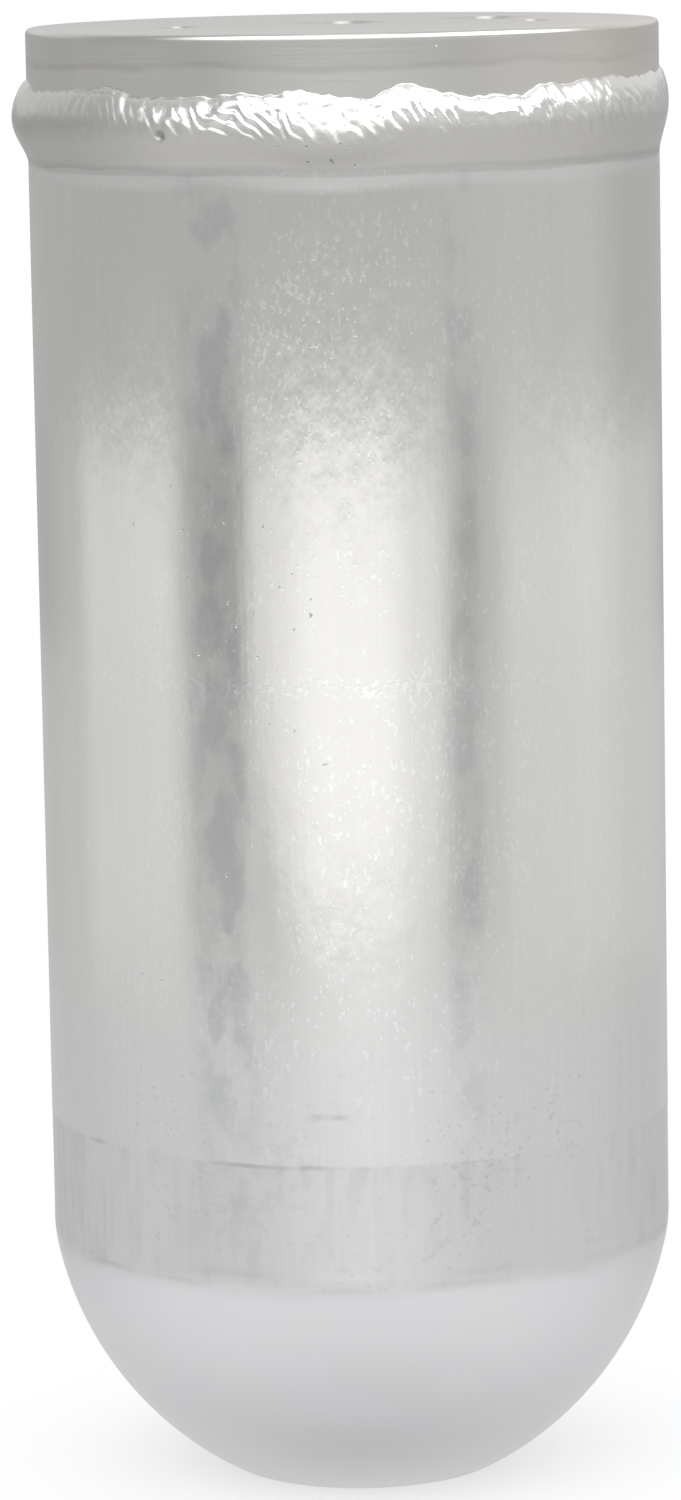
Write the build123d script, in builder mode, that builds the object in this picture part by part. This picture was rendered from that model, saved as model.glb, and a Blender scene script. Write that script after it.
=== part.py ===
"""Receiver filter drier: a drawn aluminium can closed by a turned, welded head.

Millimetres. The origin is the centre of the flat foot under the dome, +Z runs up the
can's axis to the head, and every piece is modelled where it sits in the finished part.
"""

from build123d import *
from math import acos, asin, cos, degrees, radians, sin
import os

# ---------------------------------------------------------------- driving dimensions
BODY_DIAMETER = 76.2  # over the can and the head
OVERALL_HEIGHT = 177.4  # foot to head face
DOME_HEIGHT = 29.9  # foot to the break between wall and dome
DOME_RADIUS = 38.35  # spherical, so the dome turns in by about 6.5 degrees at the break

WELD_LAND = 6.6  # below the joint the wall is skimmed to a slight taper for the weld
WELD_LAND_CUT = 0.2

WALL_BORE = 70.2  # straight inside of the can
BASE_THICKNESS = 5.0
INNER_FLAT_RADIUS = 12.0
LEDGE_HEIGHT = 25.0  # the layers inside rest on this ledge
LEDGE_RADIUS = 31.0

HEAD_FLANGE = 9.8  # head above the joint
HEAD_SPIGOT = 12.4  # head below the joint, inside the can
SPIGOT_CLEARANCE = 0.05
HEAD_EDGE = 0.7  # broken top edge

OUTLET_AT = (0.0, 0.0)
INLET_AT = (17.5, 9.5)
OUTLET_STUD_AT = (-19.7, -7.6)
INLET_STUD_AT = (22.6, -3.2)
SEAL_BORE_RADIUS = 5.5
SEAL_BORE_DEPTH = 9.0
PILOT_RADIUS = 4.1
PILOT_DEPTH = 13.6
PASSAGE_RADIUS = 3.75
PORT_EDGE = 0.35
STUD_RADIUS = 2.5  # tapping size of M6
STUD_DEPTH = 15.0
STUD_SINK_RADIUS = 3.2

BEAD_LOBES = 36
BEAD_TOP = 3.9  # toes of the bead above and below the joint
BEAD_BOTTOM = 4.9
BEAD_PROUD = 1.52
BEAD_ROOT = 0.5  # taken inside the wall, then trimmed to it
BEAD_HEAVY_SIDE = 0.34  # more metal on the -X side, less on +X
BEAD_SWAY = 0.35  # its crest wanders up and down by about this
BEAD_RIPPLE = 0.36  # each lobe stands this much over the one before

TUBE_OUTER = 4.75
TUBE_INNER = 3.75
TUBE_SOCKET = 7.0  # pressed into the head
TUBE_END = 16.0  # open lower end, above the foot
TUBE_MOUTH_EDGE = 0.4
TUBE_SLIP = 0.1  # round the tube, where plates and pads are threaded on to it

LAYER_SLIP = 0.1  # between the loose layers and the can
PLATE_THICKNESS = 1.6
PAD_THICKNESS = 7.0
UPPER_PLATE_TOP = 131.8
SLOT_RADIUS = 19.5  # middle of the radial slots in the plates
SLOT_LENGTH = 16.0
SLOT_WIDTH = 3.0
SLOTS = 8

WIRE_WIDTH = 2.6
WIRE_THICKNESS = 1.8
SPRING_FOOT_RADIUS = 21.0
SPRING_TOP_RADIUS = 11.4
SPRING_TURNS = 2  # working coils between the two dead ones
DEAD_COIL = 0.84  # turns of flat wire on each seat
COIL_STEPS = 16  # short straight lengths of wire in one turn

CAGE_BOTTOM = 6.4
CAGE_RADIUS = 8.2
CAGE_BORE = 6.7
CAGE_FLOOR = 1.5
CAGE_COLLAR = 5.0
CAGE_LEDGE = 1.2
CAGE_WINDOWS = 4
CAGE_WINDOW_WIDTH = 8.0
GAUZE_THICKNESS = 0.4

# ------------------------------------------------------------------ derived dimensions
BODY_RADIUS = BODY_DIAMETER / 2
BORE_RADIUS = WALL_BORE / 2
JOINT = OVERALL_HEIGHT - HEAD_FLANGE
HEAD_BOTTOM = JOINT - HEAD_SPIGOT
TUBE_TOP = HEAD_BOTTOM + TUBE_SOCKET

os.makedirs("parts", exist_ok=True)


# ---------------------------------------------------------------------------- canister
# One deep-drawn piece: straight wall, domed end with a flat foot, and a ledge inside that
# carries the layers.
break_angle = degrees(acos(BODY_RADIUS / DOME_RADIUS))
dome_centre = (0, DOME_HEIGHT + DOME_RADIUS * sin(radians(break_angle)))
foot_angle = degrees(asin(dome_centre[1] / DOME_RADIUS))

with BuildPart() as canister:
    with BuildSketch(Plane.XZ):
        with BuildLine():
            dome = CenterArc(dome_centre, DOME_RADIUS, -foot_angle, foot_angle - break_angle)
            Polyline(
                dome @ 1,
                (BODY_RADIUS, JOINT - WELD_LAND),
                (BODY_RADIUS - WELD_LAND_CUT, JOINT),
                (BORE_RADIUS, JOINT),
                (BORE_RADIUS, LEDGE_HEIGHT),
                (LEDGE_RADIUS, LEDGE_HEIGHT),
                (INNER_FLAT_RADIUS, BASE_THICKNESS),
                (0, BASE_THICKNESS),
                (0, 0),
                dome @ 0,
            )
        make_face()
    revolve(axis=Axis.Z)
canister.part.label = "canister"
export_step(canister.part, "parts/canister.step")


# -------------------------------------------------------------------------------- head
# Turned disc with a spigot: two stepped O-ring ports, two blind M6 holes beside them,
# and a socket below that holds the pickup tube.
with BuildPart() as head:
    with BuildSketch(Plane.XZ):
        with BuildLine():
            Polyline(
                (0, HEAD_BOTTOM),
                (BORE_RADIUS - SPIGOT_CLEARANCE, HEAD_BOTTOM),
                (BORE_RADIUS - SPIGOT_CLEARANCE, JOINT),
                (BODY_RADIUS, JOINT),
                (BODY_RADIUS, OVERALL_HEIGHT - HEAD_EDGE),
                (BODY_RADIUS - HEAD_EDGE, OVERALL_HEIGHT),
                (0, OVERALL_HEIGHT),
                close=True,
            )
        make_face()
    revolve(axis=Axis.Z)
    with Locations(Plane.XY.offset(OVERALL_HEIGHT)):
        with Locations(OUTLET_AT, INLET_AT):
            CounterBoreHole(PILOT_RADIUS, SEAL_BORE_RADIUS, SEAL_BORE_DEPTH, PILOT_DEPTH)
            Hole(PASSAGE_RADIUS)
        with Locations(OUTLET_STUD_AT, INLET_STUD_AT):
            CounterSinkHole(STUD_RADIUS, STUD_SINK_RADIUS, STUD_DEPTH, 90)
    with BuildSketch(Plane.XY.offset(HEAD_BOTTOM)):
        with Locations(OUTLET_AT):
            Circle(TUBE_OUTER)
    extrude(amount=TUBE_SOCKET, mode=Mode.SUBTRACT)
    mouths = head.edges().filter_by(GeomType.CIRCLE).group_by(Axis.Z)[-1]
    chamfer(mouths.filter_by(lambda e: abs(e.radius - SEAL_BORE_RADIUS) < 0.01), PORT_EDGE)
head.part.label = "head"
export_step(head.part, "parts/head.step")


# --------------------------------------------------------------------------- weld bead
# One run of weld that caps the joint. Each lobe is the ripple that the pool left as it
# moved on, so it starts low under the last one and ends high.
def bead_section(turn, swell):
    """Cross-section of the bead on the half plane at an angle in degrees."""
    across = (cos(radians(turn)), sin(radians(turn)), 0)
    along = (sin(radians(turn)), -cos(radians(turn)), 0)
    proud = BEAD_PROUD - BEAD_HEAVY_SIDE * across[0] + swell
    sway = BEAD_SWAY * (sin(radians(3 * turn + 40)) + sin(radians(7 * turn)) / 2)
    top = sway + BEAD_TOP
    bottom = sway - BEAD_BOTTOM
    with BuildSketch(Plane(origin=(0, 0, JOINT), x_dir=across, z_dir=along)) as section:
        with BuildLine():
            Polyline(
                (BODY_RADIUS, top),
                (BODY_RADIUS + 0.62 * proud, sway + 0.62 * BEAD_TOP),
                (BODY_RADIUS + proud, sway + 0.16 * BEAD_TOP),
                (BODY_RADIUS + 0.94 * proud, sway - 0.30 * BEAD_BOTTOM),
                (BODY_RADIUS + 0.56 * proud, sway - 0.68 * BEAD_BOTTOM),
                (BODY_RADIUS, bottom),
                (BODY_RADIUS - BEAD_ROOT, bottom),
                (BODY_RADIUS - BEAD_ROOT, top),
                close=True,
            )
        make_face()
    return section.sketch


with BuildPart() as weld_bead:
    for lobe in range(BEAD_LOBES):
        start = bead_section(lobe * 360 / BEAD_LOBES, -BEAD_RIPPLE / 2)
        end = bead_section((lobe + 1) * 360 / BEAD_LOBES, BEAD_RIPPLE / 2)
        loft([start, end], ruled=True)
    add(canister.part, mode=Mode.SUBTRACT)
    add(head.part, mode=Mode.SUBTRACT)
weld_bead.part.label = "weld_bead"
export_step(weld_bead.part, "parts/weld_bead.step")


# ------------------------------------------------------------------------- pickup tube
# Pressed into the centre boss; liquid is drawn up it from the bottom of the can.
with BuildPart() as pickup_tube:
    with BuildSketch(Plane.XY.offset(TUBE_END)):
        with Locations(OUTLET_AT):
            Circle(TUBE_OUTER)
            Circle(TUBE_INNER, mode=Mode.SUBTRACT)
    extrude(amount=TUBE_TOP - TUBE_END)
    tube_mouth = pickup_tube.edges().filter_by(GeomType.CIRCLE).group_by(Axis.Z)[0]
    chamfer(tube_mouth.sort_by(SortBy.RADIUS)[0], TUBE_MOUTH_EDGE)
pickup_tube.part.label = "pickup_tube"
export_step(pickup_tube.part, "parts/pickup_tube.step")


# -------------------------------------------------------------------- strainer on tube
# Moulded cage: closed foot, window bars, and a narrower collar that fits on the tube.
cage_top = TUBE_END + CAGE_COLLAR
window_bottom = CAGE_BOTTOM + CAGE_FLOOR
window_height = TUBE_END - CAGE_LEDGE - window_bottom
with BuildPart() as strainer_cage:
    with BuildSketch(Plane.XZ):
        with BuildLine():
            Polyline(
                (0, CAGE_BOTTOM),
                (CAGE_RADIUS, CAGE_BOTTOM),
                (CAGE_RADIUS, TUBE_END),
                (TUBE_OUTER + CAGE_FLOOR, TUBE_END),
                (TUBE_OUTER + CAGE_FLOOR, cage_top),
                (TUBE_OUTER, cage_top),
                (TUBE_OUTER, TUBE_END),
                (TUBE_INNER, TUBE_END),
                (TUBE_INNER, TUBE_END - CAGE_LEDGE),
                (CAGE_BORE, TUBE_END - CAGE_LEDGE),
                (CAGE_BORE, window_bottom),
                (0, window_bottom),
                close=True,
            )
        make_face()
    revolve(axis=Axis.Z)
    with PolarLocations(0, CAGE_WINDOWS):
        with Locations((CAGE_RADIUS, 0, window_bottom + window_height / 2)):
            Box(4 * CAGE_FLOOR, CAGE_WINDOW_WIDTH, window_height, mode=Mode.SUBTRACT)
strainer_cage.part.label = "strainer_cage"
export_step(strainer_cage.part, "parts/strainer_cage.step")

# The gauze is a sleeve inside the cage, held between its foot and the ledge.
with BuildPart() as strainer_gauze:
    with BuildSketch(Plane.XY.offset(window_bottom)):
        Circle(CAGE_BORE)
        Circle(CAGE_BORE - GAUZE_THICKNESS, mode=Mode.SUBTRACT)
    extrude(amount=window_height)
strainer_gauze.part.label = "strainer_gauze"
export_step(strainer_gauze.part, "parts/strainer_gauze.step")


# ------------------------------------------------------------------- filter and drying
def slotted_plate(bottom):
    """Pressed plate with a ring of radial slots and a hole for the pickup tube."""
    with BuildPart() as plate:
        with BuildSketch(Plane.XY.offset(bottom)):
            Circle(BORE_RADIUS - LAYER_SLIP)
            Circle(TUBE_OUTER + TUBE_SLIP, mode=Mode.SUBTRACT)
            with PolarLocations(SLOT_RADIUS, SLOTS):
                Rectangle(SLOT_LENGTH, SLOT_WIDTH, mode=Mode.SUBTRACT)
        extrude(amount=PLATE_THICKNESS)
    return plate.part


def disc(bottom, thickness):
    """Flat disc that fills the can round the pickup tube."""
    with BuildPart() as layer:
        with BuildSketch(Plane.XY.offset(bottom)):
            Circle(BORE_RADIUS - LAYER_SLIP)
            Circle(TUBE_OUTER + TUBE_SLIP, mode=Mode.SUBTRACT)
        extrude(amount=thickness)
    return layer.part


lower_pad_bottom = LEDGE_HEIGHT + PLATE_THICKNESS
beads_bottom = lower_pad_bottom + PAD_THICKNESS
upper_plate_bottom = UPPER_PLATE_TOP - PLATE_THICKNESS
upper_pad_bottom = upper_plate_bottom - PAD_THICKNESS

lower_plate = slotted_plate(LEDGE_HEIGHT)
lower_plate.label = "lower_plate"
export_step(lower_plate, "parts/lower_plate.step")

lower_pad = disc(lower_pad_bottom, PAD_THICKNESS)
lower_pad.label = "lower_pad"
export_step(lower_pad, "parts/lower_pad.step")

desiccant = disc(beads_bottom, upper_pad_bottom - beads_bottom)
desiccant.label = "desiccant"
export_step(desiccant, "parts/desiccant.step")

upper_pad = disc(upper_pad_bottom, PAD_THICKNESS)
upper_pad.label = "upper_pad"
export_step(upper_pad, "parts/upper_pad.step")

upper_plate = slotted_plate(upper_plate_bottom)
upper_plate.label = "upper_plate"
export_step(upper_plate, "parts/upper_plate.step")


# ------------------------------------------------------------------------------ spring
# Conical flat-wire spring between the upper plate and the head, with a dead coil lying
# flat on each seat.
wire_low = UPPER_PLATE_TOP + WIRE_THICKNESS / 2
wire_rise = HEAD_BOTTOM - UPPER_PLATE_TOP - WIRE_THICKNESS
wire_draw = SPRING_FOOT_RADIUS - SPRING_TOP_RADIUS


def wire_section(turns):
    """Flat cross-section of the wire after a number of turns from its lower end."""
    risen = min(1, max(0, (turns - DEAD_COIL) / SPRING_TURNS))
    across = (cos(radians(360 * turns)), sin(radians(360 * turns)), 0)
    along = (-across[1], across[0], 0)
    plane = Plane(origin=(0, 0, wire_low + wire_rise * risen), x_dir=across, z_dir=along)
    with BuildSketch(plane) as section:
        with Locations((SPRING_FOOT_RADIUS - wire_draw * risen, 0)):
            Rectangle(WIRE_WIDTH, WIRE_THICKNESS)
    return section.sketch


wire_steps = round((SPRING_TURNS + 2 * DEAD_COIL) * COIL_STEPS)
with BuildPart() as compression_spring:
    loft([wire_section(step / COIL_STEPS) for step in range(wire_steps + 1)], ruled=True)
compression_spring.part.label = "compression_spring"
export_step(compression_spring.part, "parts/compression_spring.step")
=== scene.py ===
"""Filter drier: a drawn aluminium can with a welded head, in plain soft studio light.

Metres, in the part's own frame: the foot's centre is the origin and +Z runs up the can.
The can, the head and the weld bead are made here as smooth surfaces in place of their
nodes. The sealed inner pieces keep their own meshes and get their finishes here.
"""

import math
import bpy
import bmesh
import numpy as np
from mathutils import Matrix, Vector
from mathutils.geometry import delaunay_2d_cdt


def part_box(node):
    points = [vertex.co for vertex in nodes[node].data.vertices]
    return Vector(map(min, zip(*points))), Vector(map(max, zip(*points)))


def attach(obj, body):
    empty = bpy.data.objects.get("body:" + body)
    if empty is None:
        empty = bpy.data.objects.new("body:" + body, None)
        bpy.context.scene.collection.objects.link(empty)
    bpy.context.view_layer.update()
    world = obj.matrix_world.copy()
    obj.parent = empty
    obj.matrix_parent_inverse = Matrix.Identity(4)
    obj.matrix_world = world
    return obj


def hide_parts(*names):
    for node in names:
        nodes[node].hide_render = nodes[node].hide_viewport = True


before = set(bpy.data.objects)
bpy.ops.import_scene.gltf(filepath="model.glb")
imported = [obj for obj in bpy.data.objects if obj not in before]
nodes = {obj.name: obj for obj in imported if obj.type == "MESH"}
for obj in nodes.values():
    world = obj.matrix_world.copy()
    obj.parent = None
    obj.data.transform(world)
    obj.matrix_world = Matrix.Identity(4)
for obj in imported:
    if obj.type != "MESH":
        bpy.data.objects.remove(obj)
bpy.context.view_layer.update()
MM = 0.001

# ------------------------------------------------------------------- sizes of the part
head_low, head_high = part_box("head")
_, can_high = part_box("canister")
_, tube_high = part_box("pickup_tube")
TOP = head_high.z
JOINT = can_high.z
BODY_R = head_high.x
HEAD_FOOT = head_low.z
TUBE_TOP = tube_high.z
TUBE_R = tube_high.x

DOME_BREAK = 29.9 * MM  # height at which the wall turns into the dome
DOME_R = 41.67 * MM  # of the dome's meridian, which is a little fuller than a sphere
DOME_TURN = math.radians(9.0)  # by which the dome turns in at the break
BREAK_ROUND = 1.6 * MM
BREAK_GAP = 0.03  # radians of the dome's arc given up to the round at the break
FOOT_ROUND = 0.5 * MM
FOOT_GAP = 0.075  # radians given up to the round at the foot
BAND_TOP = 45.1 * MM  # upper end of the unironed band above the dome
BAND_STEP = 0.02 * MM
LAND_FOOT = 161.0 * MM  # above it the wall is skimmed to a slight taper for the weld
LAND_CUT = 0.2 * MM
BORE_R = 35.1 * MM
LEDGE = 25.0 * MM
LEDGE_R = 31.0 * MM
FLOOR_R = 12.0 * MM
FLOOR_Z = 5.0 * MM

SPIGOT_R = 35.05 * MM
RIM_ROUND = 0.75 * MM
PORTS = ((0.0, 0.0), (17.5 * MM, 9.5 * MM))
STUDS = ((-19.7 * MM, -7.6 * MM), (22.6 * MM, -3.2 * MM))
SEAL_R = 5.5 * MM
SEAL_DEPTH = 9.0 * MM
PILOT_R = 4.1 * MM
PILOT_DEPTH = 13.6 * MM
PASSAGE_R = 3.75 * MM
MOUTH_EDGE = 0.35 * MM
THREAD_ROOT_R = 2.5 * MM
THREAD_R = 3.0 * MM
THREAD_PITCH = 1.0 * MM
STUD_SINK_R = 3.2 * MM
STUD_DEPTH = 15.0 * MM
DRILL_POINT = 1.4 * MM
THREAD_LEAD = 0.4 * MM  # plain depth before the first turn of the thread
THREAD_END = 2.6 * MM  # plain depth left under the last turn
THREAD_FADE = 0.8 * MM

ROUND_STEPS = 256  # of the can and the head
PORT_STEPS = 96
STUD_STEPS = 56

BEAD_TOP = 3.7 * MM  # toes of the bead, above and below the joint
BEAD_BOTTOM = 5.9 * MM
BEAD_PROUD = 1.50 * MM
BEAD_HEAVY = 0.34 * MM  # more metal on the -X side, less on +X
BEAD_SWAY = 0.35 * MM
BEAD_RIPPLES = 128
BEAD_STEPS = 1440  # points round it
BEAD_COLUMNS = 64  # points across it
BEAD_ROOT = 0.3 * MM  # depth of the bead's back inside the wall
BEAD_CREST = 0.42  # place of the crest, as a share of the width from the upper toe
# Places round the run, in degrees from +X: the middle, the spread and the amount.
CREST_SHIFTS = ((267, 9, 0.19), (240, 13, -0.02), (295, 13, -0.10))  # shares of the width
# Dips of the upper toe, in millimetres.
TOE_DIPS = ((238, 12, 1.2), (257, 9, 0.8), (272, 6, 1.5), (297, 9, 1.5), (203, 10, 0.9))
CALM_SPANS = ((198, 34), (352, 18))  # where the ripples are nearly gone
DARK_REFLECTION_TURN = 210.0  # of the weld run, where a dark reflection is painted on the bead, which is also rougher there
DARK_REFLECTION_HEIGHT = 169.0 * MM
PIT_TURN = 237.6  # of one gas pit in the weld
PIT_HEIGHT = 165.9 * MM
LAP_TURN = 218.0  # of a short line where the weld only laps the head
LAP_HEIGHT = 170.5 * MM


# ------------------------------------------------------------------- building surfaces
def merged_mesh(name, points, faces):
    """A mesh from arrays, with its seams and poles closed and its faces turned outwards."""
    mesh = bpy.data.meshes.new(name)
    mesh.from_pydata(points.tolist(), [], faces)
    work = bmesh.new()
    work.from_mesh(mesh)
    bmesh.ops.remove_doubles(work, verts=work.verts, dist=0.002 * MM)
    bmesh.ops.dissolve_degenerate(work, edges=work.edges, dist=0.0001 * MM)
    bmesh.ops.recalc_face_normals(work, faces=work.faces)
    work.to_mesh(mesh)
    work.free()
    return mesh


def placed(name, data):
    """An object for a mesh, a lamp or a camera, put into the scene."""
    item = bpy.data.objects.new(name, data)
    bpy.context.scene.collection.objects.link(item)
    return item


def finished_piece(name, points, faces, sharp_angle, node):
    """A smooth-shaded piece that stands for one CAD node; edges over the angle stay sharp."""
    mesh = merged_mesh(name, points, faces)
    mesh.shade_smooth()
    mesh.set_sharp_from_angle(angle=math.radians(sharp_angle))
    piece = placed(name, mesh)
    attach(piece, "root")
    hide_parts(node)
    return piece


def grid_faces(rows, columns, first=0, wrap=False):
    """Quads of a grid of points stored row by row; wrap joins the last row to the first."""
    row = np.arange(rows if wrap else rows - 1)[:, None]
    column = np.arange(columns - 1)[None, :]
    here = first + row * columns + column
    after = first + ((row + 1) % rows) * columns + column
    return np.stack([here, after, after + 1, here + 1], axis=-1).reshape(-1, 4).tolist()


def turned(profile, steps, centre=(0.0, 0.0)):
    """Surface of revolution: (x0 + r cos t, y0 + r sin t, z) for each (r, z) of a profile."""
    turn = np.linspace(0, 2 * np.pi, steps, endpoint=False)[:, None]
    r, z = profile[None, :, 0], profile[None, :, 1]
    x = centre[0] + r * np.cos(turn)
    y = centre[1] + r * np.sin(turn)
    points = np.stack([x, y, np.broadcast_to(z, x.shape)], axis=-1).reshape(-1, 3)
    return points, grid_faces(steps, profile.shape[0], wrap=True)


def joined(parts):
    """One set of points and faces from several, each part's faces counted on from the last."""
    points, faces, first = [], [], 0
    for part_points, part_faces in parts:
        points.append(part_points)
        faces += (np.array(part_faces) + first).tolist()
        first += len(part_points)
    return np.concatenate(points), faces


def line(start, end, count):
    """Points spaced evenly from start to end, without the end: start (1 - s) + end s."""
    share = np.linspace(0, 1, count, endpoint=False)[:, None]
    return np.asarray(start) * (1 - share) + np.asarray(end) * share


def arc(centre, radius, start, end, count):
    """Centre + radius (cos a, sin a), from one angle to another in radians, less the last."""
    angle = np.linspace(start, end, count, endpoint=False)
    x = centre[0] + radius * np.cos(angle)
    y = centre[1] + radius * np.sin(angle)
    return np.stack([x, y], axis=1)


def rounded(before, corner, after, radius, count=7):
    """A fillet at a corner: the quadratic curve whose ends lie one radius along each side."""
    before, corner, after = map(np.asarray, (before, corner, after))
    start = corner + (before - corner) / np.linalg.norm(before - corner) * radius
    end = corner + (after - corner) / np.linalg.norm(after - corner) * radius
    t = np.linspace(0, 1, count)[:, None]
    return (1 - t) ** 2 * start + 2 * t * (1 - t) * corner + t**2 * end


# ---------------------------------------------------------------------------- canister
def can_profile():
    """Outside from the foot up to the mouth, then inside from the mouth down to the floor.

    The dome is an arc whose centre lies off the axis, so that it meets the flat foot at one
    end and turns in by DOME_TURN at the break; a quadratic round eases it into each.
    """
    rise = DOME_BREAK + DOME_R * math.sin(DOME_TURN)
    centre = (BODY_R - DOME_R * math.cos(DOME_TURN), rise)
    foot_angle = -math.asin(centre[1] / DOME_R)
    foot_r = centre[0] + DOME_R * math.cos(foot_angle)
    dome = arc(centre, DOME_R, foot_angle + FOOT_GAP, -DOME_TURN - BREAK_GAP, 64)
    band_r = BODY_R - BAND_STEP
    land_r = BODY_R - LAND_CUT
    return np.concatenate(
        [
            line((0, 0), (foot_r - FOOT_ROUND, 0), 10),
            rounded((0, 0), (foot_r, 0), dome[0], FOOT_ROUND, 12),
            dome,
            rounded(dome[-1], (BODY_R, DOME_BREAK), (BODY_R, JOINT), BREAK_ROUND, 12),
            line((band_r, DOME_BREAK + BREAK_ROUND * 1.2), (band_r, BAND_TOP), 16),
            line((BODY_R, BAND_TOP + BAND_STEP * 4), (BODY_R, LAND_FOOT), 90),
            line((BODY_R, LAND_FOOT), (land_r, JOINT), 12)[1:],
            line((land_r, JOINT), (BORE_R, JOINT), 3),
            line((BORE_R, JOINT), (BORE_R, LEDGE), 24),
            line((BORE_R, LEDGE), (LEDGE_R, LEDGE), 3),
            line((LEDGE_R, LEDGE), (FLOOR_R, FLOOR_Z), 12),
            line((FLOOR_R, FLOOR_Z), (0, FLOOR_Z), 5),
            [(0, FLOOR_Z)],
        ]
    )


def make_canister():
    """The drawn can: its profile turned about the axis."""
    points, faces = turned(can_profile(), ROUND_STEPS)
    return finished_piece("drawn_can", points, faces, 28, "canister")


# -------------------------------------------------------------------------------- head
def pierced_disc(height, outer_r, outer_steps, holes):
    """Triangles between a circle and the round holes in it, given as (x, y, r, steps)."""
    rings = [(0.0, 0.0, outer_r, outer_steps), *holes]
    points, edges, first = [], [], 0
    for x, y, r, steps in rings:
        turn = np.linspace(0, 2 * np.pi, steps, endpoint=False)
        points.append(np.stack([x + r * np.cos(turn), y + r * np.sin(turn)], axis=1))
        edges += [(first + k, first + (k + 1) % steps) for k in range(steps)]
        first += steps
    flat = np.concatenate(points)
    spots, _, triangles, *_ = delaunay_2d_cdt(flat.tolist(), edges, [], 0, 1e-7)
    spots = np.array([tuple(spot) for spot in spots])
    triangles = np.array([list(face) for face in triangles])
    middle = spots[triangles].mean(axis=1)
    keep = np.ones(len(triangles), bool)
    for x, y, r, _ in holes:
        keep &= np.hypot(middle[:, 0] - x, middle[:, 1] - y) > r
    points = np.column_stack([spots, np.full(len(spots), height)])
    return points, triangles[keep].tolist()


def threaded_wall(centre):
    """Tapped hole: r = root + crest * triangle(z / pitch - t / turn), faded at both ends."""
    depth = np.linspace(0, STUD_DEPTH - DRILL_POINT, 190)
    turn = np.linspace(0, 2 * np.pi, STUD_STEPS, endpoint=False)[:, None]
    phase = (depth[None, :] / THREAD_PITCH - turn / (2 * np.pi)) % 1
    crest = (1 - np.abs(2 * phase - 1)) * (THREAD_R - THREAD_ROOT_R)
    start = np.clip((depth - THREAD_LEAD) / THREAD_FADE, 0, 1)
    end = np.clip((STUD_DEPTH - THREAD_END - depth) / THREAD_FADE, 0, 1)
    sink = np.clip(1 - depth / (STUD_SINK_R - THREAD_ROOT_R), 0, 1)
    r = THREAD_ROOT_R + crest * start * end + sink * (STUD_SINK_R - THREAD_ROOT_R)
    x = centre[0] + r * np.cos(turn)
    y = centre[1] + r * np.sin(turn)
    z = np.broadcast_to(TOP - depth, x.shape)
    points = np.stack([x, y, z], axis=-1).reshape(-1, 3)
    return points, grid_faces(STUD_STEPS, len(depth), wrap=True)


def make_head():
    """Rim and spigot, top and bottom faces, stepped ports and tapped holes, merged in one."""
    rim = rounded((BODY_R, JOINT), (BODY_R, TOP), (0, TOP), RIM_ROUND)
    side = np.concatenate(
        [
            line((SPIGOT_R, HEAD_FOOT), (SPIGOT_R, JOINT), 8),
            line((SPIGOT_R, JOINT), (BODY_R, JOINT), 3),
            line((BODY_R, JOINT), rim[0], 14),
            rim,
        ]
    )
    mouth = [(SEAL_R + MOUTH_EDGE, TOP), (SEAL_R, TOP - MOUTH_EDGE)]
    seat = [(SEAL_R, TOP - SEAL_DEPTH), (PILOT_R, TOP - SEAL_DEPTH)]
    step = [(PILOT_R, TOP - PILOT_DEPTH), (PASSAGE_R, TOP - PILOT_DEPTH)]
    socket = [(PASSAGE_R, TUBE_TOP), (TUBE_R, TUBE_TOP), (TUBE_R, HEAD_FOOT)]
    outlet = turned(np.array(mouth + seat + step + socket), PORT_STEPS, PORTS[0])
    passage = [(PASSAGE_R, HEAD_FOOT)]
    inlet = turned(np.array(mouth + seat + step + passage), PORT_STEPS, PORTS[1])
    point_start = TOP - STUD_DEPTH + DRILL_POINT
    drill_point = np.array([(THREAD_ROOT_R, point_start), (0, TOP - STUD_DEPTH)])
    top_holes = [(x, y, SEAL_R + MOUTH_EDGE, PORT_STEPS) for x, y in PORTS]
    top_holes += [(x, y, STUD_SINK_R, STUD_STEPS) for x, y in STUDS]
    bottom_holes = [(*PORTS[0], TUBE_R, PORT_STEPS), (*PORTS[1], PASSAGE_R, PORT_STEPS)]
    points, faces = joined(
        [
            turned(side, ROUND_STEPS),
            pierced_disc(TOP, BODY_R - RIM_ROUND, ROUND_STEPS, top_holes),
            pierced_disc(HEAD_FOOT, SPIGOT_R, ROUND_STEPS, bottom_holes),
            outlet,
            inlet,
            *[threaded_wall(stud) for stud in STUDS],
            *[turned(drill_point, STUD_STEPS, stud) for stud in STUDS],
        ]
    )
    return finished_piece("turned_head", points, faces, 32, "head")


# --------------------------------------------------------------------------- weld bead
def waves(turn, across, seed, count, lowest, highest, slant=3.0):
    """Smooth wander: a sum of cosines of whole numbers of turns, so that the ends meet."""
    rng = np.random.default_rng(seed)
    turns = rng.integers(lowest, highest, count)
    tilt = rng.uniform(-slant, slant, count)
    phase = rng.uniform(0, 2 * np.pi, count)
    total = sum(np.cos(n * turn + m * across + p) for n, m, p in zip(turns, tilt, phase))
    return total / math.sqrt(count)


def near(turn, degrees, spread):
    """1 at an angle round the part, falling off as a bell curve of that spread in degrees."""
    off = np.degrees(turn) - degrees
    off = (off + 180) % 360 - 180
    return np.exp(-((off / spread) ** 2))


def swells(turn, places):
    """Sum of bell curves round the part, each given as (middle, spread, amount)."""
    return sum(amount * near(turn, middle, spread) for middle, spread, amount in places)


def bead_ripples(turn, across):
    """A saw tooth from -0.5 to 0.5, slanted and wandering, with a whole number of teeth."""
    wander = 1.1 * waves(turn, across, 17, 9, 5, 26, 2)
    wander = wander + 0.25 * waves(turn, across, 18, 9, 40, 90, 6)
    saw = (BEAD_RIPPLES * turn / (2 * np.pi) - 4.2 * across + wander) % 1
    return np.where(saw < 0.70, saw / 0.70, (1 - saw) / 0.30) - 0.5


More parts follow.
